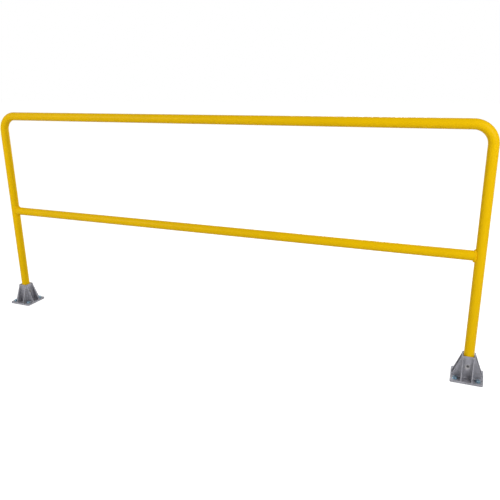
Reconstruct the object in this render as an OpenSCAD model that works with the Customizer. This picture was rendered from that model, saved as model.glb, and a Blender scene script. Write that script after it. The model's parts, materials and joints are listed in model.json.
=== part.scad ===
// Floor-mounted safety railing: one bay of bent tube with a mid rail,
// standing in two ribbed socket castings. Millimetres, +Z up.
// The origin is under the left socket, on the post's axis, at floor level.

/* [Rail frame] */
// Height from the floor to the top of the top rail
rail_height = 1067; // [700:1:1400]
// Distance between the two post axes
post_spacing = 2388; // [600:1:3600]
// Outside diameter of the tube
tube_od = 41.3; // [30:0.1:50]
// Wall thickness of the tube
tube_wall = 2.6; // [1.5:0.1:5]
// Radius of the two top bends, measured on the tube's axis
bend_radius = 76; // [50:1:150]
// Height of the mid rail's axis above the floor
mid_rail_height = 537; // [300:1:640]

/* [Mid rail joints] */
// Gap that the weld bridges between the mid rail's square end and the post
root_gap = 0.3; // [0.1:0.1:1.5]
// Leg of the fillet weld above and below the mid rail
weld_leg = 6; // [3:0.5:9]
// How far the weld runs back round each side of the post, behind the mid rail's end
weld_wrap = 5.6; // [2:0.1:9]
// Height of the weld's crown over the mid rail's end
weld_crown = 0.3; // [0.1:0.1:1]
// Thickness of weld left between the post's side and the hollow in the mid rail
weld_throat = 2.5; // [1:0.1:5]

/* [Socket castings] */
// Height of the socket's rim above the floor
socket_height = 107; // [90:1:160]
// Wall thickness of the square socket
socket_wall = 4.4; // [3:0.1:8]
// Gap on each side between the tube and the square mouth
mouth_gap = 0.35; // [0.1:0.05:1.5]
// Outside corner radius of the square socket
socket_corner = 3; // [1:0.5:6]
// Side of the square base plate
plate_side = 130; // [125:1:180]
// Thickness of the base plate
plate_thickness = 9.5; // [6:0.5:16]
// Corner radius of the base plate
plate_corner = 8; // [3:0.5:14]
// Thickness of each rib
rib_thickness = 4.7; // [3:0.1:7]
// Step from the socket's outer face in to the rib's outer face
rib_inset = 1.8; // [0.5:0.1:3]
// Distance from the foot of each rib to the edge of the plate
rib_setback = 2; // [1:0.5:8]

/* [Fixings] */
// Centre-to-centre spacing of the anchor holes, both ways
anchor_spacing = 88.9; // [80:0.1:100]
// Diameter of the anchor holes
anchor_hole = 14.3; // [9:0.1:18]
// Diameter of the set screws
screw_diameter = 9.5; // [6:0.1:12]
// Length of the set screws
screw_length = 4.2; // [3:0.1:16]
// Height of the set screws above the floor
screw_height = 62; // [30:1:85]
// Hexagon in the end of the set screw, across flats
screw_hex = 4.8; // [3:0.1:6]
// Depth of that hexagon
screw_hex_depth = 2.4; // [1:0.1:2.8]
// Diameter of the dish cast round the set screw's hole
dish_diameter = 20; // [14:0.5:28]
// Depth of that dish
dish_depth = 2.2; // [0.5:0.1:2.6]
// Clearance around the set screw, and between its tip and the tube
screw_gap = 0.05; // [0.02:0.01:0.2]

/* [Hidden] */
$fn = 96;
tube_r = tube_od / 2;
bore_r = tube_r - tube_wall;
// The bends join the straight tubes on these two levels
top_axis_z = rail_height - tube_r;
bend_z = top_axis_z - bend_radius;
// The mid rail's end, and the sections of its weld, along the mid rail's axis
rail_end_x = tube_r + root_gap;
weld_front_x = tube_r + weld_leg;
weld_back_x = rail_end_x - weld_wrap;
weld_back_y = sqrt(tube_r * tube_r - weld_back_x * weld_back_x);
// Square socket
mouth_side = tube_od + 2 * mouth_gap;
socket_side = mouth_side + 2 * socket_wall;
rib_offset = socket_side / 2 - rib_inset - rib_thickness / 2;
rib_foot = plate_side / 2 - rib_setback;
// How far the hole-cutting tools pass through what they cut
overcut = 1;
yellow = [0.91, 0.74, 0.02];
cast_grey = [0.62, 0.63, 0.65];
zinc_grey = [0.72, 0.73, 0.75];

// A tube standing on z = 0
module tube(length) {
    difference() {
        cylinder(r = tube_r, h = length);
        translate([0, 0, -overcut]) cylinder(r = bore_r, h = length + 2 * overcut);
    }
}

// A tube lying along +X from x = 0
module lying_tube(length) {
    rotate([0, 90, 0]) tube(length);
}

// A quarter turn of tube from +X up to +Z, about the origin
module quarter_bend() {
    rotate([90, 0, 0]) rotate_extrude(angle = 90) translate([bend_radius, 0]) difference() {
        circle(r = tube_r);
        circle(r = bore_r);
    }
}

// Sets its children at the right post, turned to face the left one
module at_right_post() {
    translate([post_spacing, 0, 0]) mirror([1, 0, 0]) children();
}

module post() {
    translate([0, 0, plate_thickness]) tube(bend_z - plate_thickness);
}

module left_post() {
    color(yellow) post();
}

module right_post() {
    color(yellow) at_right_post() post();
}

module left_bend() {
    color(yellow) translate([bend_radius, 0, bend_z]) mirror([1, 0, 0]) quarter_bend();
}

module right_bend() {
    color(yellow) translate([post_spacing - bend_radius, 0, bend_z]) quarter_bend();
}

module top_rail() {
    color(yellow) translate([bend_radius, 0, top_axis_z])
        lying_tube(post_spacing - 2 * bend_radius);
}

module mid_rail() {
    color(yellow) translate([rail_end_x, 0, mid_rail_height])
        lying_tube(post_spacing - 2 * rail_end_x);
}

// A thin elliptical section of the weld, square to the mid rail
module weld_section(x, half_width, half_height) {
    translate([x, 0, 0]) rotate([0, 90, 0])
        linear_extrude(0.01) scale([half_height, half_width]) circle(r = 1, $fn = 72);
}

// Fillet weld that runs round the square end of the mid rail and closes it onto the post
module mid_rail_weld() {
    translate([0, 0, mid_rail_height]) difference() {
        hull() {
            weld_section(weld_front_x, tube_r, tube_r);
            weld_section(rail_end_x, tube_r + weld_crown, tube_r + weld_leg - root_gap);
            weld_section(weld_back_x, weld_back_y, tube_r + weld_leg + tube_r - weld_back_x);
        }
        // the post
        translate([0, 0, -2 * tube_od]) cylinder(r = tube_r, h = 4 * tube_od);
        // the mid rail, and the clear space at the end of its bore
        translate([rail_end_x, 0, 0]) rotate([0, 90, 0]) cylinder(r = tube_r, h = 2 * weld_leg);
        rotate([0, 90, 0]) cylinder(r = weld_back_y - weld_throat, h = tube_od);
    }
}

module left_mid_rail_weld() {
    color(yellow) mid_rail_weld();
}

module right_mid_rail_weld() {
    color(yellow) at_right_post() mid_rail_weld();
}

// A square block with round upright edges, standing on z = 0
module rounded_block(side, corner, height) {
    flat = side - 2 * corner;
    translate([-side / 2, -flat / 2, 0]) cube([side, flat, height]);
    translate([-flat / 2, -side / 2, 0]) cube([flat, side, height]);
    for (x = [-1, 1], y = [-1, 1])
        translate([x * flat / 2, y * flat / 2, 0]) cylinder(r = corner, h = height);
}

// Two ribs in one upright plane, sloping from the rim down to the plate's edges
module rib_pair() {
    translate([0, rib_thickness / 2, 0]) rotate([90, 0, 0]) linear_extrude(rib_thickness) polygon([
        [-rib_foot, plate_thickness / 2],
        [rib_foot, plate_thickness / 2],
        [rib_foot, plate_thickness],
        [socket_side / 2, socket_height],
        [-socket_side / 2, socket_height],
        [-rib_foot, plate_thickness]
    ]);
}

// Set screw pointing at the post from the -Y side
module set_screw() {
    tip_y = tube_r + screw_gap;
    translate([0, -tip_y, screw_height]) rotate([90, 0, 0]) difference() {
        cylinder(d = screw_diameter, h = screw_length);
        translate([0, 0, screw_length - screw_hex_depth])
            cylinder(r = screw_hex / sqrt(3), h = screw_hex_depth + overcut, $fn = 6);
    }
}

// Tool that sinks a dished recess of dish_depth into the face on z = 0
module dish() {
    flare = (dish_diameter - screw_diameter) / 2;
    translate([0, 0, -dish_depth])
        cylinder(d1 = screw_diameter, d2 = dish_diameter, h = dish_depth);
    cylinder(d = dish_diameter, h = flare);
}

module socket() {
    difference() {
        union() {
            rounded_block(plate_side, plate_corner, plate_thickness);
            rounded_block(socket_side, socket_corner, socket_height);
            for (turn = [0, 90, 180, 270])
                rotate([0, 0, turn]) translate([0, rib_offset, 0]) rib_pair();
        }
        // the square mouth, down to the top of the plate
        translate([-mouth_side / 2, -mouth_side / 2, plate_thickness])
            cube([mouth_side, mouth_side, socket_height]);
        // the anchor holes
        for (x = [-1, 1], y = [-1, 1])
            translate([x * anchor_spacing / 2, y * anchor_spacing / 2, -overcut])
                cylinder(d = anchor_hole, h = plate_thickness + 2 * overcut);
        // the set screw's hole, and the dish cast round it
        translate([0, -tube_r, screw_height]) rotate([90, 0, 0])
            cylinder(d = screw_diameter + 2 * screw_gap, h = socket_side);
        translate([0, -socket_side / 2, screw_height]) rotate([90, 0, 0]) dish();
    }
}

// The left casting is turned so that its set screw faces along the railing
module left_socket() {
    color(cast_grey) rotate([0, 0, 90]) socket();
}

module right_socket() {
    color(cast_grey) translate([post_spacing, 0, 0]) socket();
}

module left_set_screw() {
    color(zinc_grey) rotate([0, 0, 90]) set_screw();
}

module right_set_screw() {
    color(zinc_grey) translate([post_spacing, 0, 0]) set_screw();
}

left_post();
left_bend();
top_rail();
right_bend();
right_post();
mid_rail();
left_mid_rail_weld();
right_mid_rail_weld();
left_socket();
right_socket();
left_set_screw();
right_set_screw();
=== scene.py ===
import json
import math

import bpy
import numpy as np
from mathutils import Matrix, Vector


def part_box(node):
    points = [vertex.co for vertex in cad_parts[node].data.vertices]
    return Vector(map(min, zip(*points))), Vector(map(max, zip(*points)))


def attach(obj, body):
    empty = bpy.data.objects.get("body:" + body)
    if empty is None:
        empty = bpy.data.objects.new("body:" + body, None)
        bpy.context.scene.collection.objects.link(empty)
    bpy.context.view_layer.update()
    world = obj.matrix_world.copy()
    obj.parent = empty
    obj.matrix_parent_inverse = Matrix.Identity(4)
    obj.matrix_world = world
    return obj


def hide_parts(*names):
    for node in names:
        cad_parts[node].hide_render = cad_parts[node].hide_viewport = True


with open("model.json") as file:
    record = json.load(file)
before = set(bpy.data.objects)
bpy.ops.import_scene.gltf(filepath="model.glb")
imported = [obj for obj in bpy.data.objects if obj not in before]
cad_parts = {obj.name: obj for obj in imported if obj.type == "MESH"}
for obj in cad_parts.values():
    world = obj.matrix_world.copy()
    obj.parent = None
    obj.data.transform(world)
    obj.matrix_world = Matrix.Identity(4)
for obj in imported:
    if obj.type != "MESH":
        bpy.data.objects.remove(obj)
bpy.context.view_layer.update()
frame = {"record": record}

MM = 0.001
BODY = "root"


# ---------------------------------------------------------------------------------------------
# Sizes, from the frame where it gives them
# ---------------------------------------------------------------------------------------------

POST_LOW, POST_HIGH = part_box("left_post")
_, BEND_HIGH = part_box("left_bend")
RIGHT_LOW, RIGHT_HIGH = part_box("right_post")
RAIL_LOW, RAIL_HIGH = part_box("mid_rail")
SOCKET_LOW, SOCKET_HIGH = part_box("left_socket")
LEFT_SCREW_LOW, LEFT_SCREW_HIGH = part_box("left_set_screw")
MOUNTS = {mount["name"]: mount for mount in frame["record"]["mounts"]}
ANCHORS = MOUNTS["left_anchor_holes"]["dims"]

TUBE_R = (POST_HIGH.x - POST_LOW.x) / 2
TUBE_WALL = 2.6 * MM
LEFT_X = (POST_LOW.x + POST_HIGH.x) / 2
RIGHT_X = (RIGHT_LOW.x + RIGHT_HIGH.x) / 2
FOOT_Z = POST_LOW.z
BEND_Z = POST_HIGH.z
BEND_R = BEND_HIGH.x - LEFT_X
MID_Z = (RAIL_LOW.z + RAIL_HIGH.z) / 2
RIM_Z = SOCKET_HIGH.z
PLATE_HALF = (SOCKET_HIGH.x - SOCKET_LOW.x) / 2
ANCHOR_STEP = ANCHORS["spacing_x_mm"] / 2 * MM
ANCHOR_HOLE_R = ANCHORS["hole_r_mm"] * MM
SCREW_Z = (LEFT_SCREW_LOW.z + LEFT_SCREW_HIGH.z) / 2
SCREW_R = (LEFT_SCREW_HIGH.z - LEFT_SCREW_LOW.z) / 2
SCREW_BACK = LEFT_SCREW_LOW.x - LEFT_X
SCREW_FACE = LEFT_SCREW_HIGH.x - LEFT_X


# ---------------------------------------------------------------------------------------------
# Node helpers
# ---------------------------------------------------------------------------------------------

def srgb(red, green, blue):
    """A colour given as 0 to 255 in sRGB, as linear RGBA."""
    linear = []
    for channel in (red, green, blue):
        share = channel / 255
        linear.append(share / 12.92 if share <= 0.04045 else ((share + 0.055) / 1.055) ** 2.4)
    return (*linear, 1.0)


def set_inputs(tree, node, values):
    """Sets a node's inputs, each to a value or to the socket that feeds it."""
    for key, value in values.items():
        if isinstance(value, bpy.types.NodeSocket):
            tree.links.new(value, node.inputs[key])
        else:
            node.inputs[key].default_value = value


def add_node(tree, kind, values=None, **settings):
    """A new node. Settings are its own properties; values go to its inputs, as set_inputs says."""
    node = tree.nodes.new(kind)
    for name, value in settings.items():
        setattr(node, name, value)
    set_inputs(tree, node, values or {})
    return node


def math_node(tree, operation, *operands, clamp=False):
    """The result of a sum on values or sockets, kept from 0 to 1 if clamp is set."""
    node = add_node(tree, "ShaderNodeMath", dict(enumerate(operands)),
                    operation=operation, use_clamp=clamp)
    return node.outputs[0]


def mix_colour(tree, factor, first, second):
    """Two colours blended by a factor, any of which may be a socket."""
    node = add_node(tree, "ShaderNodeMix", data_type="RGBA")
    set_inputs(tree, node, {0: factor, 6: first, 7: second})
    return node.outputs[2]


def new_group(name, kind, inputs, outputs):
    """A node group with its named sockets, and its input and output nodes."""
    tree = bpy.data.node_groups.new(name, kind)
    for socket_name, socket_type, default in inputs:
        socket = tree.interface.new_socket(socket_name, in_out="INPUT", socket_type=socket_type)
        if default is not None:
            socket.default_value = default
    for socket_name, socket_type in outputs:
        tree.interface.new_socket(socket_name, in_out="OUTPUT", socket_type=socket_type)
    return tree, tree.nodes.new("NodeGroupInput").outputs, tree.nodes.new("NodeGroupOutput").inputs


# ---------------------------------------------------------------------------------------------
# Shared shader groups
# ---------------------------------------------------------------------------------------------

def make_tone_group():
    """Two tones blended by soft cloudy patches of a given size."""
    tree, given, out = new_group(
        "tone_variation", "ShaderNodeTree",
        [("Vector", "NodeSocketVector", None), ("Tone A", "NodeSocketColor", None),
         ("Tone B", "NodeSocketColor", None), ("Scale", "NodeSocketFloat", 10.0),
         ("Contrast", "NodeSocketFloat", 1.0)],
        [("Color", "NodeSocketColor"), ("Mask", "NodeSocketFloat")])
    cloud = add_node(tree, "ShaderNodeTexNoise",
                     {"Vector": given["Vector"], "Scale": given["Scale"],
                      "Detail": 5.0, "Roughness": 0.55})
    centred = math_node(tree, "SUBTRACT", cloud.outputs["Fac"], 0.5)
    stretched = math_node(tree, "MULTIPLY", centred, given["Contrast"])
    mask = math_node(tree, "ADD", stretched, 0.5, clamp=True)
    tree.links.new(mix_colour(tree, mask, given["Tone A"], given["Tone B"]), out["Color"])
    tree.links.new(mask, out["Mask"])
    return tree


def make_grain_group():
    """The height of a fine surface grain lying on a coarser one."""
    tree, given, out = new_group(
        "surface_grain", "ShaderNodeTree",
        [("Vector", "NodeSocketVector", None), ("Fine Scale", "NodeSocketFloat", 1500.0),
         ("Coarse Scale", "NodeSocketFloat", 200.0), ("Coarse Share", "NodeSocketFloat", 0.5)],
        [("Height", "NodeSocketFloat")])
    fine = add_node(tree, "ShaderNodeTexNoise",
                    {"Vector": given["Vector"], "Scale": given["Fine Scale"], "Detail": 3.0})
    coarse = add_node(tree, "ShaderNodeTexNoise",
                      {"Vector": given["Vector"], "Scale": given["Coarse Scale"], "Detail": 4.0})
    lifted = math_node(tree, "MULTIPLY", coarse.outputs["Fac"], given["Coarse Share"])
    height = math_node(tree, "ADD", fine.outputs["Fac"], lifted)
    tree.links.new(height, out["Height"])
    return tree


def make_speck_group():
    """A mask of sparse specks, such as a casting's pinholes or a coat's nicks, thicker in patches."""
    tree, given, out = new_group(
        "specks", "ShaderNodeTree",
        [("Vector", "NodeSocketVector", None), ("Scale", "NodeSocketFloat", 300.0),
         ("Amount", "NodeSocketFloat", 0.1), ("Patch Scale", "NodeSocketFloat", 18.0),
         ("Sharpness", "NodeSocketFloat", 12.0)],
        [("Mask", "NodeSocketFloat")])
    cells = add_node(tree, "ShaderNodeTexVoronoi",
                     {"Vector": given["Vector"], "Scale": given["Scale"]})
    patches = add_node(tree, "ShaderNodeTexNoise",
                       {"Vector": given["Vector"], "Scale": given["Patch Scale"], "Detail": 2.0})
    reach = math_node(tree, "MULTIPLY", patches.outputs["Fac"], given["Amount"])
    near = math_node(tree, "SUBTRACT", reach, cells.outputs["Distance"])
    mask = math_node(tree, "MULTIPLY", near, given["Sharpness"], clamp=True)
    tree.links.new(mask, out["Mask"])
    return tree


TONE = make_tone_group()
GRAIN = make_grain_group()
SPECKS = make_speck_group()


# ---------------------------------------------------------------------------------------------
# Materials
# ---------------------------------------------------------------------------------------------

def start_material(name):
    """A material with its node tree, its shader and the object coordinates that its patterns use."""
    material = bpy.data.materials.new(name)
    material.use_nodes = True
    tree = material.node_tree
    place = tree.nodes.new("ShaderNodeTexCoord").outputs["Object"]
    return material, tree, tree.nodes["Principled BSDF"], place


def group_node(tree, group, values):
    """A shared group placed in a material with its own values; gives the group's outputs."""
    node = tree.nodes.new("ShaderNodeGroup")
    node.node_tree = group
    set_inputs(tree, node, values)
    return node.outputs


def map_value(tree, value, low, high):
    """A mask from 0 to 1 turned into a value from low to high."""
    node = add_node(tree, "ShaderNodeMapRange", {"Value": value, "To Min": low, "To Max": high})
    return node.outputs["Result"]


def add_bump(tree, shader, height, strength, distance):
    """Bumps a shader's surface by a height."""
    bump = add_node(tree, "ShaderNodeBump",
                    {"Height": height, "Strength": strength, "Distance": distance})
    tree.links.new(bump.outputs["Normal"], shader.inputs["Normal"])


def powder_coat():
    """Safety yellow powder coat: even colour, a trace of dust, faint orange peel, a few small nicks."""
    material, tree, shader, place = start_material("yellow_powder_coat")
    tone = group_node(tree, TONE, {"Vector": place, "Scale": 7.0, "Contrast": 1.6,
                                   "Tone A": srgb(236, 189, 0), "Tone B": srgb(246, 198, 0)})
    dust = group_node(tree, TONE, {"Vector": place, "Scale": 42.0, "Contrast": 2.2})
    nicks = group_node(tree, SPECKS, {"Vector": place, "Scale": 210.0, "Amount": 0.16})
    dusty = map_value(tree, dust["Mask"], 0.0, 0.05)
    colour = mix_colour(tree, dusty, tone["Color"], srgb(208, 168, 22))
    nicked = map_value(tree, nicks["Mask"], 0.0, 0.35)
    colour = mix_colour(tree, nicked, colour, srgb(150, 118, 20))
    tree.links.new(colour, shader.inputs["Base Color"])
    tree.links.new(map_value(tree, dust["Mask"], 0.34, 0.46), shader.inputs["Roughness"])
    shader.inputs["Specular IOR Level"].default_value = 0.07
    peel = group_node(tree, GRAIN, {"Vector": place, "Fine Scale": 1100.0, "Coarse Scale": 330.0,
                                    "Coarse Share": 1.4})
    add_bump(tree, shader, peel["Height"], 0.35, 0.12 * MM)
    return material


def sand_casting():
    """Sand-cast aluminium: grainy and mottled, with painted shade in its recesses, its edges lightened
    by wear and by a painted highlight, and its cut dish brightened as a machined face and as a painted
    highlight.
    """
    material, tree, shader, place = start_material("sand_cast_aluminium")
    tone = group_node(tree, TONE, {"Vector": place, "Scale": 55.0, "Contrast": 2.0,
                                   "Tone A": srgb(139, 139, 145), "Tone B": srgb(171, 170, 179)})
    stain = group_node(tree, TONE, {"Vector": place, "Scale": 16.0, "Contrast": 2.6})
    pits = group_node(tree, SPECKS, {"Vector": place, "Scale": 560.0, "Amount": 0.6})
    # Masks stored on the mesh: painted shade in recesses, wear with a painted highlight on edges, and
    # the machined dish with a painted highlight
    recess, edge, machined_and_highlight = (
        add_node(tree, "ShaderNodeAttribute", attribute_name=label).outputs["Fac"]
        for label in ("recess", "edge", "machined_and_highlight"))
    # Convex edges lightened, partly as wear and partly as a painted highlight
    edge_wear_and_highlight = math_node(tree, "MULTIPLY", edge, map_value(tree, tone["Mask"], 0.3, 1.0))
    colour = tone["Color"]
    for mask, most, over in ((stain["Mask"], 0.35, srgb(112, 114, 120)),
                             # painted shade: recesses darkened where light would be blocked
                             (recess, 0.4, srgb(78, 79, 82)),
                             (pits["Mask"], 0.28, srgb(84, 85, 88)),
                             # edge wear together with a painted highlight on convex edges
                             (edge_wear_and_highlight, 0.16, srgb(186, 186, 194)),
                             # the machined dish, brightened also as a painted highlight
                             (machined_and_highlight, 0.6, srgb(188, 186, 184))):
        colour = mix_colour(tree, map_value(tree, mask, 0.0, most), colour, over)
    tree.links.new(colour, shader.inputs["Base Color"])
    shader.inputs["Metallic"].default_value = 0.45
    tree.links.new(map_value(tree, stain["Mask"], 0.46, 0.62), shader.inputs["Roughness"])
    grain = group_node(tree, GRAIN, {"Vector": place, "Fine Scale": 1400.0, "Coarse Scale": 260.0,
                                     "Coarse Share": 1.5})
    pitted = math_node(tree, "SUBTRACT", grain["Height"], pits["Mask"])
    add_bump(tree, shader, pitted, 0.9, 0.4 * MM)
    return material


def plated_steel():
    """Blue-bright zinc plating, a little cloudy, dulled in patches."""
    material, tree, shader, place = start_material("blue_zinc_plating")
    tone = group_node(tree, TONE, {"Vector": place, "Scale": 130.0, "Contrast": 2.4,
                                   "Tone A": srgb(98, 126, 142), "Tone B": srgb(156, 180, 194)})
    pits = group_node(tree, SPECKS, {"Vector": place, "Scale": 700.0, "Amount": 0.35})
    colour = mix_colour(tree, map_value(tree, pits["Mask"], 0.0, 0.4), tone["Color"], srgb(96, 108, 116))
    tree.links.new(colour, shader.inputs["Base Color"])
    shader.inputs["Metallic"].default_value = 0.95
    tree.links.new(map_value(tree, tone["Mask"], 0.24, 0.36), shader.inputs["Roughness"])
    grain = group_node(tree, GRAIN, {"Vector": place, "Fine Scale": 2600.0, "Coarse Scale": 700.0,
                                     "Coarse Share": 1.0})
    add_bump(tree, shader, grain["Height"], 0.2, 0.06 * MM)
    return material


def black_oxide():
    """Oiled black oxide on hardened steel."""
    material, tree, shader, place = start_material("black_oxide_steel")
    tone = group_node(tree, TONE, {"Vector": place, "Scale": 400.0, "Contrast": 2.0,
                                   "Tone A": srgb(78, 78, 81), "Tone B": srgb(112, 112, 116)})
    tree.links.new(tone["Color"], shader.inputs["Base Color"])
    shader.inputs["Metallic"].default_value = 0.7
    tree.links.new(map_value(tree, tone["Mask"], 0.34, 0.48), shader.inputs["Roughness"])
    grain = group_node(tree, GRAIN, {"Vector": place, "Fine Scale": 2400.0, "Coarse Scale": 900.0,
                                     "Coarse Share": 1.0})
    add_bump(tree, shader, grain["Height"], 0.2, 0.05 * MM)
    return material


COAT = powder_coat()
CASTING = sand_casting()
ZINC = plated_steel()
OXIDE = black_oxide()


# ---------------------------------------------------------------------------------------------
# Mesh helpers
# ---------------------------------------------------------------------------------------------

def make_object(name, points, faces, material, sharp_angle=None):
    """A smooth-shaded mesh object, with hard edges where it turns by more than the sharp angle."""
    mesh = bpy.data.meshes.new(name)
    mesh.from_pydata([tuple(point) for point in points], [], [tuple(face) for face in faces])
    mesh.materials.append(material)
    mesh.shade_smooth()
    if sharp_angle is not None:
        mesh.set_sharp_from_angle(angle=math.radians(sharp_angle))
    piece = bpy.data.objects.new(name, mesh)
    bpy.context.scene.collection.objects.link(piece)
    return piece


def finish_piece(piece, slot, *nodes):
    """The piece rides on the railing and stands for its CAD nodes, which are hidden; the slot is not
    used.
    """
    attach(piece, BODY)
    if nodes:
        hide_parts(*nodes)


def ring_faces(ring_count, sides, loop):
    """Quads between rings that lie one after another; loop joins the last to the first."""
    faces = []
    for ring in range(ring_count if loop else ring_count - 1):
        here = ring * sides
        there = (ring + 1) % ring_count * sides
        for side in range(sides):
            other = (side + 1) % sides
            faces.append((here + side, here + other, there + other, there + side))
    return faces


def lathe(rings):
    """Points and faces of a closed solid on the Z axis.

    A ring is a list of (radius, height), one for each step round the axis. The first and last rings
    are closed by a point at their own mean height."""
    sides = len(rings[0])
    points = []
    for ring in rings:
        for side, (radius, height) in enumerate(ring):
            angle = 2 * math.pi * side / sides
            points.append((radius * math.cos(angle), radius * math.sin(angle), height))
    faces = ring_faces(len(rings), sides, loop=False)
    for ring_index, flipped in ((0, True), (len(rings) - 1, False)):
        pole = len(points)
        points.append((0, 0, sum(height for _, height in rings[ring_index]) / sides))
        start = ring_index * sides
        for side in range(sides):
            edge = (start + side, start + (side + 1) % sides)
            faces.append((pole, *reversed(edge)) if flipped else (pole, *edge))
    return points, faces


def round_ring(radius, height, sides):
    """A ring of one radius and one height, for lathe."""
    return [(radius, height)] * sides


def hex_radius(side, sides, across_flats):
    """Distance from the axis to a hexagon's edge at one step round it."""
    turn = (2 * math.pi * side / sides) % (math.pi / 3) - math.pi / 6
    return across_flats / 2 / math.cos(turn)


# ---------------------------------------------------------------------------------------------
# The tubes
# ---------------------------------------------------------------------------------------------

TUBE_SIDES = 96
BEND_RINGS = 40
STRAIGHT_RINGS = 12
BEND_FLATTENING = 0.018
# How soon the flattening sets in from a bend's ends: 1 is as a sine, less is sooner
FLATTENING_ONSET = 0.6


def frame_path():
    """Points along the bent tube's axis: x, z, angle of travel above +X, and share of flattening."""
    top_z = BEND_Z + BEND_R
    path = []
    for step in range(STRAIGHT_RINGS):
        path.append((LEFT_X, FOOT_Z + (BEND_Z - FOOT_Z) * step / STRAIGHT_RINGS, math.pi / 2, 0.0))
    for step in range(BEND_RINGS + 1):
        share = step / BEND_RINGS
        turn = math.pi / 2 * (1 - share)
        squeeze = math.sin(math.pi * share) ** FLATTENING_ONSET
        x = LEFT_X + BEND_R - BEND_R * math.sin(turn)
        path.append((x, BEND_Z + BEND_R * math.cos(turn), turn, squeeze))
    for step in range(1, STRAIGHT_RINGS):
        x = LEFT_X + BEND_R + (RIGHT_X - LEFT_X - 2 * BEND_R) * step / STRAIGHT_RINGS
        path.append((x, top_z, 0.0, 0.0))
    for x, z, turn, squeeze in reversed(path[:STRAIGHT_RINGS + BEND_RINGS + 1]):
        path.append((LEFT_X + RIGHT_X - x, z, -turn, squeeze))
    return path


def tube_object(name, path):
    """A hollow tube along a path in the XZ plane: its outer skin, its bore and its two cut ends."""
    points = []
    for radius, stations in ((TUBE_R, path), (TUBE_R - TUBE_WALL, path[::-1])):
        for x, z, turn, squeeze in stations:
            across = radius * (1 - BEND_FLATTENING * squeeze)
            wide = radius * (1 + BEND_FLATTENING / 2 * squeeze)
            for side in range(TUBE_SIDES):
                angle = 2 * math.pi * side / TUBE_SIDES
                out = across * math.cos(angle)
                points.append((x - out * math.sin(turn),
                               wide * math.sin(angle),
                               z + out * math.cos(turn)))
    faces = ring_faces(2 * len(path), TUBE_SIDES, loop=True)
    return make_object(name, points, [face[::-1] for face in faces], COAT, sharp_angle=40)


bent_frame = tube_object("bent_frame", frame_path())
finish_piece(bent_frame, "yellow_coat", "left_post", "left_bend", "top_rail", "right_bend", "right_post")

mid_rail_path = [
    (RAIL_LOW.x + (RAIL_HIGH.x - RAIL_LOW.x) * step / STRAIGHT_RINGS, MID_Z, 0.0, 0.0)
    for step in range(STRAIGHT_RINGS + 1)
]
mid_rail = tube_object("mid_rail_tube", mid_rail_path)
finish_piece(mid_rail, "yellow_coat", "mid_rail")


# ---------------------------------------------------------------------------------------------
# The weld beads, where the mid rail meets the posts
# ---------------------------------------------------------------------------------------------

BEAD_RADIUS = 4.3 * MM
# Where the bead's own centre line runs: out from the post's axis, beside the rail's and above it
BEAD_SIDE_X = 18.2 * MM
BEAD_TOP_X = TUBE_R + 1.0 * MM
BEAD_SIDE_Y = 16.6 * MM
BEAD_TOP_Z = TUBE_R + 0.8 * MM
BEAD_RIPPLES = 34.0
BEAD_RIPPLE_DEPTH = 0.05
BEAD_STEPS = 272
BEAD_SIDES = 28
# How much each bead swells above and below the rail, as a share of its radius
LEFT_SWELL = (0.25, 0.0)
RIGHT_SWELL = (0.0, 0.45)


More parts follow.
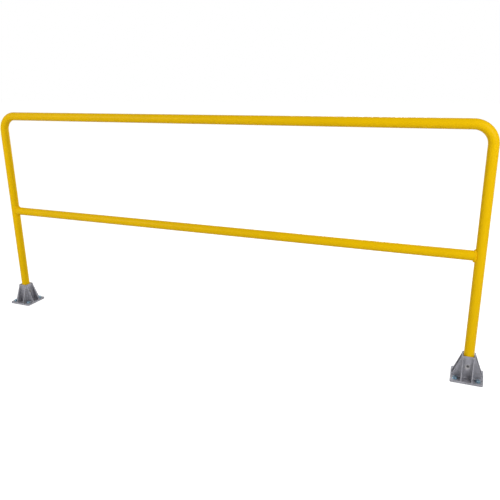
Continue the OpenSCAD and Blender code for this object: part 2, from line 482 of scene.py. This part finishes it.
def make_bead_tree():
    """A rippled bead laid round the mid rail's end: a closed curve, made into a round solid."""
    tree, given, out = new_group(
        "weld_bead", "GeometryNodeTree",
        [("Geometry", "NodeSocketGeometry", None), ("Post X", "NodeSocketFloat", 0.0),
         ("Facing", "NodeSocketFloat", 1.0), ("Height", "NodeSocketFloat", 0.5),
         ("Side X", "NodeSocketFloat", 0.018), ("Top X", "NodeSocketFloat", 0.021),
         ("Side Y", "NodeSocketFloat", 0.0166), ("Top Z", "NodeSocketFloat", 0.0215),
         ("Bead Radius", "NodeSocketFloat", 0.005), ("Heavy Above", "NodeSocketFloat", 0.0),
         ("Heavy Below", "NodeSocketFloat", 0.0), ("Ripples", "NodeSocketFloat", 30.0),
         ("Ripple Depth", "NodeSocketFloat", 0.05), ("Seed", "NodeSocketFloat", 1.0),
         ("Material", "NodeSocketMaterial", None)],
        [("Geometry", "NodeSocketGeometry")])
    ring = add_node(tree, "GeometryNodeCurvePrimitiveCircle", {"Resolution": BEAD_STEPS, "Radius": 1.0})
    along = tree.nodes.new("GeometryNodeSplineParameter").outputs["Factor"]
    turn = math_node(tree, "MULTIPLY", along, 2 * math.pi)
    sine = math_node(tree, "SINE", turn)
    cosine = math_node(tree, "COSINE", turn)
    lift = math_node(tree, "MULTIPLY", sine, sine)
    reach = math_node(tree, "SUBTRACT", given["Top X"], given["Side X"])
    ahead = math_node(tree, "MULTIPLY_ADD", reach, lift, given["Side X"])
    x = math_node(tree, "MULTIPLY_ADD", ahead, given["Facing"], given["Post X"])
    y = math_node(tree, "MULTIPLY", cosine, given["Side Y"])
    z = math_node(tree, "MULTIPLY_ADD", sine, given["Top Z"], given["Height"])
    place = add_node(tree, "ShaderNodeCombineXYZ", {"X": x, "Y": y, "Z": z}).outputs[0]
    laid = add_node(tree, "GeometryNodeSetPosition",
                    {"Geometry": ring.outputs["Curve"], "Position": place})

    wobble = add_node(tree, "ShaderNodeTexNoise",
                      {"Vector": place, "W": given["Seed"], "Scale": 130.0, "Detail": 2.0},
                      noise_dimensions="4D").outputs["Fac"]
    drift = math_node(tree, "MULTIPLY", wobble, 5.0)
    phase = math_node(tree, "MULTIPLY_ADD", turn, given["Ripples"], drift)
    ripple = math_node(tree, "MULTIPLY", math_node(tree, "SINE", phase), given["Ripple Depth"])
    top_share = math_node(tree, "MAXIMUM", sine, 0.0)
    above = math_node(tree, "MULTIPLY", top_share, given["Heavy Above"])
    bottom_share = math_node(tree, "MAXIMUM", math_node(tree, "MULTIPLY", sine, -1.0), 0.0)
    below = math_node(tree, "MULTIPLY", bottom_share, given["Heavy Below"])
    uneven = math_node(tree, "MULTIPLY_ADD", wobble, 0.3, 0.85)
    rippled = math_node(tree, "ADD", uneven, ripple)
    swell = math_node(tree, "ADD", above, below)
    size = math_node(tree, "ADD", rippled, swell)
    radius = math_node(tree, "MULTIPLY", size, given["Bead Radius"])
    section = add_node(tree, "GeometryNodeCurvePrimitiveCircle",
                       {"Resolution": BEAD_SIDES, "Radius": 1.0})
    solid = add_node(tree, "GeometryNodeCurveToMesh",
                     {"Curve": laid.outputs["Geometry"], "Profile Curve": section.outputs["Curve"],
                      "Scale": radius})
    smooth = add_node(tree, "GeometryNodeSetShadeSmooth", {0: solid.outputs["Mesh"]})
    whole = add_node(tree, "GeometryNodeRealizeInstances", {0: smooth.outputs[0]})
    coated = add_node(tree, "GeometryNodeSetMaterial",
                      {"Geometry": whole.outputs[0], "Material": given["Material"]})
    tree.links.new(coated.outputs[0], out["Geometry"])
    return tree


def grow(name, tree, values, base=None):
    """Runs a Geometry Nodes tree on a base mesh and returns its result as a plain mesh object."""
    carrier = bpy.data.objects.new(name + "_carrier", base or bpy.data.meshes.new(name + "_base"))
    bpy.context.scene.collection.objects.link(carrier)
    modifier = carrier.modifiers.new("grow", "NODES")
    modifier.node_group = tree
    identifiers = {item.name: item.identifier for item in tree.interface.items_tree
                   if item.in_out == "INPUT"}
    for key, value in values.items():
        modifier[identifiers[key]] = value
    bpy.context.view_layer.update()
    evaluated = carrier.evaluated_get(bpy.context.evaluated_depsgraph_get())
    mesh = bpy.data.meshes.new_from_object(evaluated)
    mesh.name = name
    carrier.modifiers.remove(modifier)
    bpy.data.objects.remove(carrier)
    piece = bpy.data.objects.new(name, mesh)
    bpy.context.scene.collection.objects.link(piece)
    return piece


BEAD_TREE = make_bead_tree()
for side, post_x, facing, (above, below) in (("left", LEFT_X, 1.0, LEFT_SWELL),
                                             ("right", RIGHT_X, -1.0, RIGHT_SWELL)):
    bead = grow(side + "_weld_bead", BEAD_TREE, {
        "Post X": post_x, "Facing": facing, "Height": MID_Z,
        "Side X": BEAD_SIDE_X, "Top X": BEAD_TOP_X, "Side Y": BEAD_SIDE_Y, "Top Z": BEAD_TOP_Z,
        "Bead Radius": BEAD_RADIUS, "Heavy Above": above, "Heavy Below": below,
        "Ripples": BEAD_RIPPLES, "Ripple Depth": BEAD_RIPPLE_DEPTH,
        "Seed": 3.0 + facing, "Material": COAT})
    finish_piece(bead, "yellow_coat", side + "_mid_rail_weld")


# ---------------------------------------------------------------------------------------------
# The socket castings: a distance field in millimetres, meshed by surface nets
# ---------------------------------------------------------------------------------------------

PLATE_TOP = FOOT_Z / MM
PLATE_SIDE = PLATE_HALF / MM
PLATE_CORNER = 8.0
RIM = RIM_Z / MM
SCREW_HEIGHT = SCREW_Z / MM
MOUTH_HALF = TUBE_R / MM + 0.35
MOUTH_CORNER = 1.5
SOCKET_WALL = 4.4
SOCKET_SIDE = MOUTH_HALF + SOCKET_WALL
SOCKET_CORNER = 3.0
RIB_THICKNESS = 4.7
RIB_INSET = 1.8
RIB_SETBACK = 2.0
RIB_ROOT = 1.5
DISH_RADIUS = 10.0
DISH_DEPTH = 2.2
SCREW_CLEARANCE = 0.05
ANCHOR_AT = ANCHOR_STEP / MM

# Fillets between the parts of the casting, and the rounding of its outer edges
CAST_FILLET = 5.0
CAST_EDGE = 1.3
# Roundings of the edges that the cuts leave
DISH_ROUND = 1.2
BORE_ROUND = 0.7
MOUTH_ROUND = 1.4
MOUTH_FLOOR_ROUND = 0.5
HOLE_ROUND = 1.2
# How far the cast skin wanders from true
CAST_WAVE = 0.14

# The mesh: its cells, the space left round the casting, and the steps that draw it onto the skin
CAST_STEP = 1.2
CAST_MARGIN = 1.6
DRAW_STEPS = 4
LARGEST_SHIFT = 0.25
JUST_INSIDE = 0.01

# How far out of the skin a recess is felt for its painted shade, and how far into it an edge is felt for
# its wear and painted highlight
RECESS_SHADE_REACH = 7.0
EDGE_REACH = 1.8


def blend_union(first, second, size):
    """The union of two distance fields with a fillet of about this size between them."""
    share = np.clip(0.5 + 0.5 * (second - first) / size, 0, 1)
    return second + (first - second) * share - size * share * (1 - share)


def blend_cut(body, tool, size):
    """The body less the tool, with the edge between them rounded."""
    return -blend_union(-body, tool, size)


def extrude(outline, height, edge):
    """The distance to an outline's prism, from the distances to its outline and to its ends."""
    a, b = outline + edge, height + edge
    outside = np.hypot(np.maximum(a, 0), np.maximum(b, 0))
    return np.minimum(np.maximum(a, b), 0) + outside - edge


def square(x, y, half, corner):
    """The distance to a square with round corners, in plan."""
    a, b = np.abs(x) - half + corner, np.abs(y) - half + corner
    return np.minimum(np.maximum(a, b), 0) + np.hypot(np.maximum(a, 0), np.maximum(b, 0)) - corner


def rib(along, across, z):
    """A sloping rib that stands on the plate outside the socket, by the distance along and across it."""
    foot = PLATE_SIDE - RIB_SETBACK
    run, rise = foot - SOCKET_SIDE, RIM - PLATE_TOP
    length = math.hypot(run, rise)
    slope = ((along - foot) * rise + (z - PLATE_TOP) * run) / length
    profile = np.maximum(np.maximum(slope, SOCKET_SIDE - RIB_ROOT - along), PLATE_TOP / 2 - z)
    return extrude(profile, np.abs(across) - RIB_THICKNESS / 2, CAST_EDGE)


def dish_field(points):
    """The distance from the ball that cuts the screw's dish on the -Y side, within the dish's width."""
    ball = (DISH_RADIUS ** 2 + DISH_DEPTH ** 2) / (2 * DISH_DEPTH)
    centre = np.array((0, DISH_DEPTH - ball - MOUTH_HALF - SOCKET_WALL, SCREW_HEIGHT))
    from_ball = np.linalg.norm(points - centre, axis=1) - ball
    from_screw = np.hypot(points[:, 0], points[:, 2] - SCREW_HEIGHT)
    return np.maximum(from_ball, from_screw - DISH_RADIUS - 1)


def cast_wave(x, y, z):
    """A slow, uneven swell over the cast skin, of waves roughly 30 mm long."""
    rolled = np.sin(0.23 * x + 1.1 * np.sin(0.11 * z)) * np.sin(0.19 * y + 0.7)
    return rolled + np.sin(0.17 * z + 0.13 * x - 0.1 * y)


def socket_field(points):
    """The distance from the casting's surface, negative inside, in millimetres about the post's axis.

    The set screw's side faces -Y."""
    x, y, z = points[:, 0], points[:, 1], points[:, 2]
    rib_line = SOCKET_SIDE - RIB_INSET - RIB_THICKNESS / 2
    across_x, across_y = np.abs(x), np.abs(y)
    outline = square(x, y, PLATE_SIDE, PLATE_CORNER)
    plate = extrude(outline, np.abs(z - PLATE_TOP / 2) - PLATE_TOP / 2, CAST_EDGE)
    socket_ends = np.maximum(z - RIM, PLATE_TOP / 2 - z)
    body = extrude(square(x, y, SOCKET_SIDE, SOCKET_CORNER), socket_ends, CAST_EDGE)
    ribs = np.minimum(rib(across_x, across_y - rib_line, z), rib(across_y, across_x - rib_line, z))
    body = blend_union(body, ribs, CAST_FILLET)
    body = blend_union(body, plate, CAST_FILLET)
    body = body + CAST_WAVE * cast_wave(x, y, z) * np.clip(z / PLATE_TOP, 0, 1)
    envelope = extrude(outline, np.abs(z - RIM / 2) - RIM / 2, CAST_EDGE)
    body = np.maximum(body, envelope)

    body = blend_cut(body, dish_field(points), DISH_ROUND)
    bore = np.maximum(np.hypot(x, z - SCREW_HEIGHT) - SCREW_R / MM - SCREW_CLEARANCE, y)
    body = blend_cut(body, bore, BORE_ROUND)
    mouth = extrude(square(x, y, MOUTH_HALF, MOUTH_CORNER), PLATE_TOP - z, MOUTH_FLOOR_ROUND)
    body = blend_cut(body, mouth, MOUTH_ROUND)
    holes = np.hypot(across_x - ANCHOR_AT, across_y - ANCHOR_AT) - ANCHOR_HOLE_R / MM
    return blend_cut(body, holes, HOLE_ROUND)


def fill_saddles(value):
    """Puts inside all four corners of a cell's side where in and out alternate round it.

    Otherwise two sheets of the surface would meet there, in an edge with four faces."""
    for axis in range(3):
        layers = np.moveaxis(value, axis, 0)
        corners = (layers[:, :-1, :-1], layers[:, 1:, :-1], layers[:, 1:, 1:], layers[:, :-1, 1:])
        a, b, c, d = (corner < 0 for corner in corners)
        saddle = (a == c) & (b == d) & (a != b)
        for corner in corners:
            corner[saddle & (corner >= 0)] = -JUST_INSIDE


def surface_net(field, low, high, step):
    """Vertices and quads of the surface where a field is zero, on a grid of cells.

    Each cell that the surface passes through has one vertex, at the mean of the points where the
    cell's edges cross it. Each crossed edge has one quad, through the four cells round it."""
    axes = [np.arange(a, b + step, step) for a, b in zip(low, high)]
    grid = np.stack(np.meshgrid(*axes, indexing="ij"), axis=-1)
    value = field(grid.reshape(-1, 3)).reshape(grid.shape[:3])
    fill_saddles(value)
    inside = value < 0
    cells = tuple(size - 1 for size in value.shape)
    total = np.zeros((*cells, 3))
    count = np.zeros(cells, dtype=int)
    crossings = []
    for axis in range(3):
        start = [slice(None)] * 3
        end = [slice(None)] * 3
        start[axis], end[axis] = slice(None, -1), slice(1, None)
        start, end = tuple(start), tuple(end)
        crossing = inside[start] != inside[end]
        crossings.append(crossing)
        gap = np.where(crossing, value[start] - value[end], 1.0)
        spot = grid[start].copy()
        spot[..., axis] += step * value[start] / gap
        spot[~crossing] = 0
        first, second = (axis + 1) % 3, (axis + 2) % 3
        for i in (0, 1):
            for j in (0, 1):
                part = [slice(None)] * 3
                part[first] = slice(i, i + cells[first])
                part[second] = slice(j, j + cells[second])
                total += spot[tuple(part)]
                count += crossing[tuple(part)]
    used = count > 0
    index = np.full(cells, -1)
    index[used] = np.arange(used.sum())
    points = total[used] / count[used][:, None]
    faces = []
    for axis in range(3):
        order = (axis, (axis + 1) % 3, (axis + 2) % 3)
        crossing = crossings[axis].transpose(order)[:, 1:-1, 1:-1]
        outward = inside.transpose(order)[:-1, 1:-1, 1:-1]
        cell = index.transpose(order)
        corners = np.stack([cell[:, :-1, :-1], cell[:, 1:, :-1], cell[:, 1:, 1:], cell[:, :-1, 1:]],
                           axis=-1)
        faces.append(corners[crossing & outward])
        faces.append(corners[crossing & ~outward][:, ::-1])
    return points, np.concatenate(faces)


def field_slope(field, points):
    """The field's gradient at each point, which points out of the surface."""
    reach = 0.05
    slope = np.empty_like(points)
    for axis in range(3):
        shift = np.zeros(3)
        shift[axis] = reach
        slope[:, axis] = (field(points + shift) - field(points - shift)) / (2 * reach)
    return slope


def socket_shape():
    """The casting's points, quads and normals, and masks of painted shade in its recesses, of wear and a
    painted highlight on its edges, and of its machined dish, brightened also as a painted highlight.
    """
    side = PLATE_SIDE + CAST_MARGIN
    points, faces = surface_net(socket_field, (-side, -side, -CAST_MARGIN),
                                (side, side, RIM + CAST_MARGIN), CAST_STEP)
    for _ in range(DRAW_STEPS):
        slope = field_slope(socket_field, points)
        size = np.maximum((slope ** 2).sum(axis=1), 0.25)
        shift = np.clip(socket_field(points) / size, -LARGEST_SHIFT, LARGEST_SHIFT)
        points = points - slope * shift[:, None]
    slope = field_slope(socket_field, points)
    normals = slope / np.linalg.norm(slope, axis=1)[:, None]
    # painted shade: how closed in the skin is, drawn as darkness in its recesses
    recess = np.clip(1 - socket_field(points + RECESS_SHADE_REACH * normals) / RECESS_SHADE_REACH, 0, 1)
    # wear and a painted highlight on convex edges
    edge = np.clip(1 + socket_field(points - EDGE_REACH * normals) / EDGE_REACH, 0, 1)
    # the machined dish, whose brightness also serves as a painted highlight
    machined_and_highlight = np.clip(1.4 - 2 * np.abs(dish_field(points)), 0, 1)
    return points * MM, faces, normals, {"recess": recess, "edge": edge, "machined_and_highlight": machined_and_highlight}


def socket_object(name, shape, post_x, quarter_turns):
    """One casting round a post, turned about it, with its masks as attributes of its points."""
    points, faces, normals, masks = shape
    turn = np.array(Matrix.Rotation(math.pi / 2 * quarter_turns, 3, "Z"))
    place = points @ turn.T + np.array([post_x, 0, 0])
    piece = make_object(name, place.tolist(), faces.tolist(), CASTING)
    piece.data.normals_split_custom_set_from_vertices((normals @ turn.T).tolist())
    for label, values in masks.items():
        attribute = piece.data.attributes.new(label, "FLOAT", "POINT")
        attribute.data.foreach_set("value", values.astype(np.float32))
    return piece


SOCKET_SHAPE = socket_shape()
for side, post_x, quarter_turns in (("left", LEFT_X, 1), ("right", RIGHT_X, 0)):
    socket = socket_object(side + "_socket_casting", SOCKET_SHAPE, post_x, quarter_turns)
    finish_piece(socket, "cast_metal", side + "_socket")


# ---------------------------------------------------------------------------------------------
# The set screws
# ---------------------------------------------------------------------------------------------

SCREW_SIDES = 48
SCREW_CHAMFER = 0.5 * MM
SCREW_HEX = 4.8 * MM
SCREW_HEX_DEPTH = 2.4 * MM
SCREW_TIP_R = SCREW_R - 1.4 * MM
SCREW_TIP = 1.0 * MM


def set_screw_shape():
    """A headless screw with a hexagon socket, its tip at z = 0 and its outer face up."""
    length = SCREW_FACE - SCREW_BACK
    hexagon = [hex_radius(side, SCREW_SIDES, SCREW_HEX) for side in range(SCREW_SIDES)]
    lead = max(hexagon) + 0.15 * MM
    rings = [
        round_ring(SCREW_TIP_R, 0, SCREW_SIDES),
        round_ring(SCREW_R, SCREW_TIP, SCREW_SIDES),
        round_ring(SCREW_R, length - SCREW_CHAMFER, SCREW_SIDES),
        round_ring(SCREW_R - SCREW_CHAMFER, length, SCREW_SIDES),
        round_ring(lead, length, SCREW_SIDES),
        [(radius, length - (lead - radius) * 1.2 - 0.05 * MM) for radius in hexagon],
        [(radius, length - SCREW_HEX_DEPTH) for radius in hexagon],
        round_ring(0.4 * MM, length - SCREW_HEX_DEPTH - 0.5 * MM, SCREW_SIDES),
    ]
    return lathe(rings)


SCREW_POINTS, SCREW_FACES = set_screw_shape()
for side, post_x, facing in (("left", LEFT_X, Vector((1, 0, 0))),
                             ("right", RIGHT_X, Vector((0, -1, 0)))):
    turn = facing.to_track_quat("Z", "Y").to_matrix()
    seat = Vector((post_x, 0, SCREW_Z)) + facing * SCREW_BACK
    placed = [turn @ Vector(point) + seat for point in SCREW_POINTS]
    screw = make_object(side + "_socket_screw", placed, SCREW_FACES, OXIDE, sharp_angle=25)
    finish_piece(screw, "dark_steel", side + "_set_screw")


# ---------------------------------------------------------------------------------------------
# The anchor bolts and their washers
# ---------------------------------------------------------------------------------------------

BOLT_SIDES = 72
BOLT_HEX = 15.875 * MM
BOLT_HEAD = 7.1 * MM
BOLT_CHAMFER_ANGLE = 30
BOLT_FLAT_SHARE = 0.95
BOLT_SHANK_R = 6.35 * MM
WASHER_R = 10.8 * MM
WASHER_HOLE_R = 6.9 * MM
WASHER_THICKNESS = 2.4 * MM
# How far each head is turned, in degrees, starting at the corner with +X and +Y and going round
HEAD_TURNS = {"left": (12, 47, 5, 31), "right": (20, 8, 24, 0)}


def bolt_shape():
    """A hexagon-headed anchor from the underside of the plate up to its chamfered head."""
    seat = FOOT_Z + WASHER_THICKNESS
    top = seat + BOLT_HEAD
    flat_r = BOLT_HEX / 2 * BOLT_FLAT_SHARE
    chamfer = math.tan(math.radians(BOLT_CHAMFER_ANGLE))
    hexagon = [hex_radius(side, BOLT_SIDES, BOLT_HEX) for side in range(BOLT_SIDES)]
    rings = [
        round_ring(BOLT_SHANK_R - 0.6 * MM, 0.2 * MM, BOLT_SIDES),
        round_ring(BOLT_SHANK_R, 0.8 * MM, BOLT_SIDES),
        round_ring(BOLT_SHANK_R, seat - 0.1 * MM, BOLT_SIDES),
        round_ring(flat_r, seat - 0.1 * MM, BOLT_SIDES),
        round_ring(flat_r, seat + 0.4 * MM, BOLT_SIDES),
        [(radius, seat + 0.5 * MM + (radius - flat_r) * 0.3) for radius in hexagon],
        [(radius, top - (radius - flat_r) * chamfer) for radius in hexagon],
        round_ring(flat_r, top, BOLT_SIDES),
        round_ring(flat_r * 0.86, top, BOLT_SIDES),
        round_ring(flat_r * 0.7, top - 0.25 * MM, BOLT_SIDES),
        round_ring(flat_r * 0.1, top - 0.3 * MM, BOLT_SIDES),
    ]
    return lathe(rings)


def washer_shape():
    """A flat punched washer, rolled over a little on its upper outer edge."""
    low, high = FOOT_Z, FOOT_Z + WASHER_THICKNESS
    profile = [
        (WASHER_HOLE_R, low),
        (WASHER_R - 0.15 * MM, low),
        (WASHER_R, low + 0.3 * MM),
        (WASHER_R, high - 0.7 * MM),
        (WASHER_R - 0.25 * MM, high - 0.2 * MM),
        (WASHER_R - 0.8 * MM, high),
        (WASHER_HOLE_R + 0.3 * MM, high),
        (WASHER_HOLE_R, high - 0.3 * MM),
    ]
    points = []
    for radius, height in profile:
        for side in range(BOLT_SIDES):
            angle = 2 * math.pi * side / BOLT_SIDES
            points.append((radius * math.cos(angle), radius * math.sin(angle), height))
    return points, ring_faces(len(profile), BOLT_SIDES, loop=True)


def make_fixing_tree():
    """One fixing on every anchor point, turned by that point's own angle."""
    tree, given, out = new_group(
        "fixings_on_anchors", "GeometryNodeTree",
        [("Geometry", "NodeSocketGeometry", None), ("Fixing", "NodeSocketObject", None),
         ("Size", "NodeSocketFloat", 1.0), ("Material", "NodeSocketMaterial", None)],
        [("Geometry", "NodeSocketGeometry")])
    fixing = add_node(tree, "GeometryNodeObjectInfo", {"Object": given["Fixing"]})
    angle = add_node(tree, "GeometryNodeInputNamedAttribute", {"Name": "turn"}, data_type="FLOAT")
    spin = add_node(tree, "ShaderNodeCombineXYZ", {"Z": angle.outputs["Attribute"]})
    size = add_node(tree, "ShaderNodeCombineXYZ",
                    {"X": given["Size"], "Y": given["Size"], "Z": given["Size"]})
    placed = add_node(tree, "GeometryNodeInstanceOnPoints",
                      {"Points": given["Geometry"], "Instance": fixing.outputs["Geometry"],
                       "Rotation": spin.outputs[0], "Scale": size.outputs[0]})
    whole = add_node(tree, "GeometryNodeRealizeInstances", {0: placed.outputs[0]})
    plated = add_node(tree, "GeometryNodeSetMaterial",
                      {"Geometry": whole.outputs[0], "Material": given["Material"]})
    tree.links.new(plated.outputs[0], out["Geometry"])
    return tree


def anchor_points(name, post_x, turns):
    """The four anchor places of one plate, each with the angle of the fixing on it."""
    mesh = bpy.data.meshes.new(name)
    corners = ((1, 1), (-1, 1), (-1, -1), (1, -1))
    mesh.from_pydata([(post_x + ANCHOR_STEP * x, ANCHOR_STEP * y, 0) for x, y in corners], [], [])
    angles = mesh.attributes.new("turn", "FLOAT", "POINT")
    angles.data.foreach_set("value", [math.radians(turn) for turn in turns])
    return mesh


FIXING_TREE = make_fixing_tree()
PATTERNS = {
    "anchor_bolts": make_object("bolt_pattern_piece", *bolt_shape(), ZINC, sharp_angle=22),
    "washers": make_object("washer_pattern_piece", *washer_shape(), ZINC, sharp_angle=35),
}
for side, post_x in (("left", LEFT_X), ("right", RIGHT_X)):
    for kind, pattern in PATTERNS.items():
        name = side + "_" + kind
        points = anchor_points(name + "_places", post_x, HEAD_TURNS[side])
        fixings = grow(name, FIXING_TREE, {"Fixing": pattern, "Size": 1.0, "Material": ZINC}, points)
        finish_piece(fixings, "zinc_steel")
for pattern in PATTERNS.values():
    bpy.data.objects.remove(pattern)


# ---------------------------------------------------------------------------------------------
# Floor, light and camera
# ---------------------------------------------------------------------------------------------

FLOOR_HALF = 30.0
FLOOR_COLOUR = (0.7, 0.7, 0.7, 1.0)
SEEN_FLOOR_COLOUR = (0.35, 0.35, 0.35, 1.0)
SEEN_FLOOR_GLOW = 0.93
SKY_STRENGTH = 0.3
MIDDLE_X = (LEFT_X + RIGHT_X) / 2
LAMP_SIDE = 1.3
# Each lamp's place, the point that it faces and its power in watts
LAMPS = {
    "right_lamp": ((RIGHT_X + 1.7, -1.9, 2.1), (RIGHT_X - 0.3, 0, 1.0), 57),
    "back_lamp": ((MIDDLE_X, 3.4, 1.7), (MIDDLE_X, 0, 0.5), 50),
    "left_lamp": ((LEFT_X - 1.0, -2.4, 1.9), (LEFT_X + 0.3, 0, 0.7), 38),
}
CAMERA_PLACE = (2.3338, -2.2483, 1.2018)
# Degrees: to the left of +Y, down from level, and clockwise about the line of sight
CAMERA_HEADING, CAMERA_DOWN, CAMERA_ROLL = 22.495, 17.0, 0.619
CAMERA_SENSOR, CAMERA_LENS = 36, 39.41


def seen_directly(tree):
    """1 for rays from the camera or by way of gloss or glass, else 0."""
    rays = tree.nodes.new("ShaderNodeLightPath").outputs
    glossy = math_node(tree, "MAXIMUM", rays["Is Camera Ray"], rays["Is Glossy Ray"])
    return math_node(tree, "MAXIMUM", glossy, rays["Is Transmission Ray"])


def make_floor():
    """A floor that takes light and shadow as plain grey but shows itself as white."""
    corners = [(-FLOOR_HALF, -FLOOR_HALF, 0), (FLOOR_HALF, -FLOOR_HALF, 0),
               (FLOOR_HALF, FLOOR_HALF, 0), (-FLOOR_HALF, FLOOR_HALF, 0)]
    material = bpy.data.materials.new("plain_floor")
    material.use_nodes = True
    tree = material.node_tree
    tree.nodes.remove(tree.nodes["Principled BSDF"])
    lit = add_node(tree, "ShaderNodeBsdfDiffuse", {"Color": FLOOR_COLOUR})
    seen = add_node(tree, "ShaderNodeBsdfDiffuse", {"Color": SEEN_FLOOR_COLOUR})
    glow = add_node(tree, "ShaderNodeEmission", {"Color": (1, 1, 1, 1), "Strength": SEEN_FLOOR_GLOW})
    shown = add_node(tree, "ShaderNodeAddShader", {0: seen.outputs[0], 1: glow.outputs[0]})
    mixed = add_node(tree, "ShaderNodeMixShader",
                     {0: seen_directly(tree), 1: lit.outputs[0], 2: shown.outputs[0]})
    tree.links.new(mixed.outputs[0], tree.nodes["Material Output"].inputs["Surface"])
    floor = make_object("floor", corners, [(0, 1, 2, 3)], material)


def make_sky():
    """An even white sky, full strength where it is seen and weaker as light."""
    world = bpy.data.worlds.new("plain_studio")
    bpy.context.scene.world = world
    world.use_nodes = True
    tree = world.node_tree
    background = tree.nodes["Background"]
    background.inputs["Color"].default_value = (1, 1, 1, 1)
    strength = add_node(tree, "ShaderNodeMapRange",
                        {"Value": seen_directly(tree), "To Min": SKY_STRENGTH, "To Max": 1.0})
    tree.links.new(strength.outputs["Result"], background.inputs["Strength"])


def make_lamp(name, place, target, power):
    """A square soft light, which the camera doesn't see."""
    lamp = bpy.data.lights.new(name, "AREA")
    lamp.size = LAMP_SIDE
    lamp.energy = power
    holder = bpy.data.objects.new(name, lamp)
    holder.location = place
    holder.rotation_euler = (Vector(target) - Vector(place)).to_track_quat("-Z", "Y").to_euler()
    holder.visible_camera = False
    bpy.context.scene.collection.objects.link(holder)


def make_camera():
    """The camera, at about a person's chest height before the right post."""
    camera = bpy.data.cameras.new("camera")
    camera.sensor_width = CAMERA_SENSOR
    camera.lens = CAMERA_LENS
    camera.clip_start = 0.05
    camera.clip_end = 200
    holder = bpy.data.objects.new("camera", camera)
    heading = Matrix.Rotation(math.radians(CAMERA_HEADING), 4, "Z")
    pitch = Matrix.Rotation(math.radians(90 - CAMERA_DOWN), 4, "X")
    roll = Matrix.Rotation(math.radians(-CAMERA_ROLL), 4, "Z")
    holder.matrix_world = Matrix.Translation(CAMERA_PLACE) @ heading @ pitch @ roll
    bpy.context.scene.collection.objects.link(holder)
    bpy.context.scene.camera = holder


make_floor()
make_sky()
for lamp_name, (lamp_place, lamp_target, lamp_power) in LAMPS.items():
    make_lamp(lamp_name, lamp_place, lamp_target, lamp_power)
make_camera()
bpy.context.scene.view_settings.view_transform = "Standard"
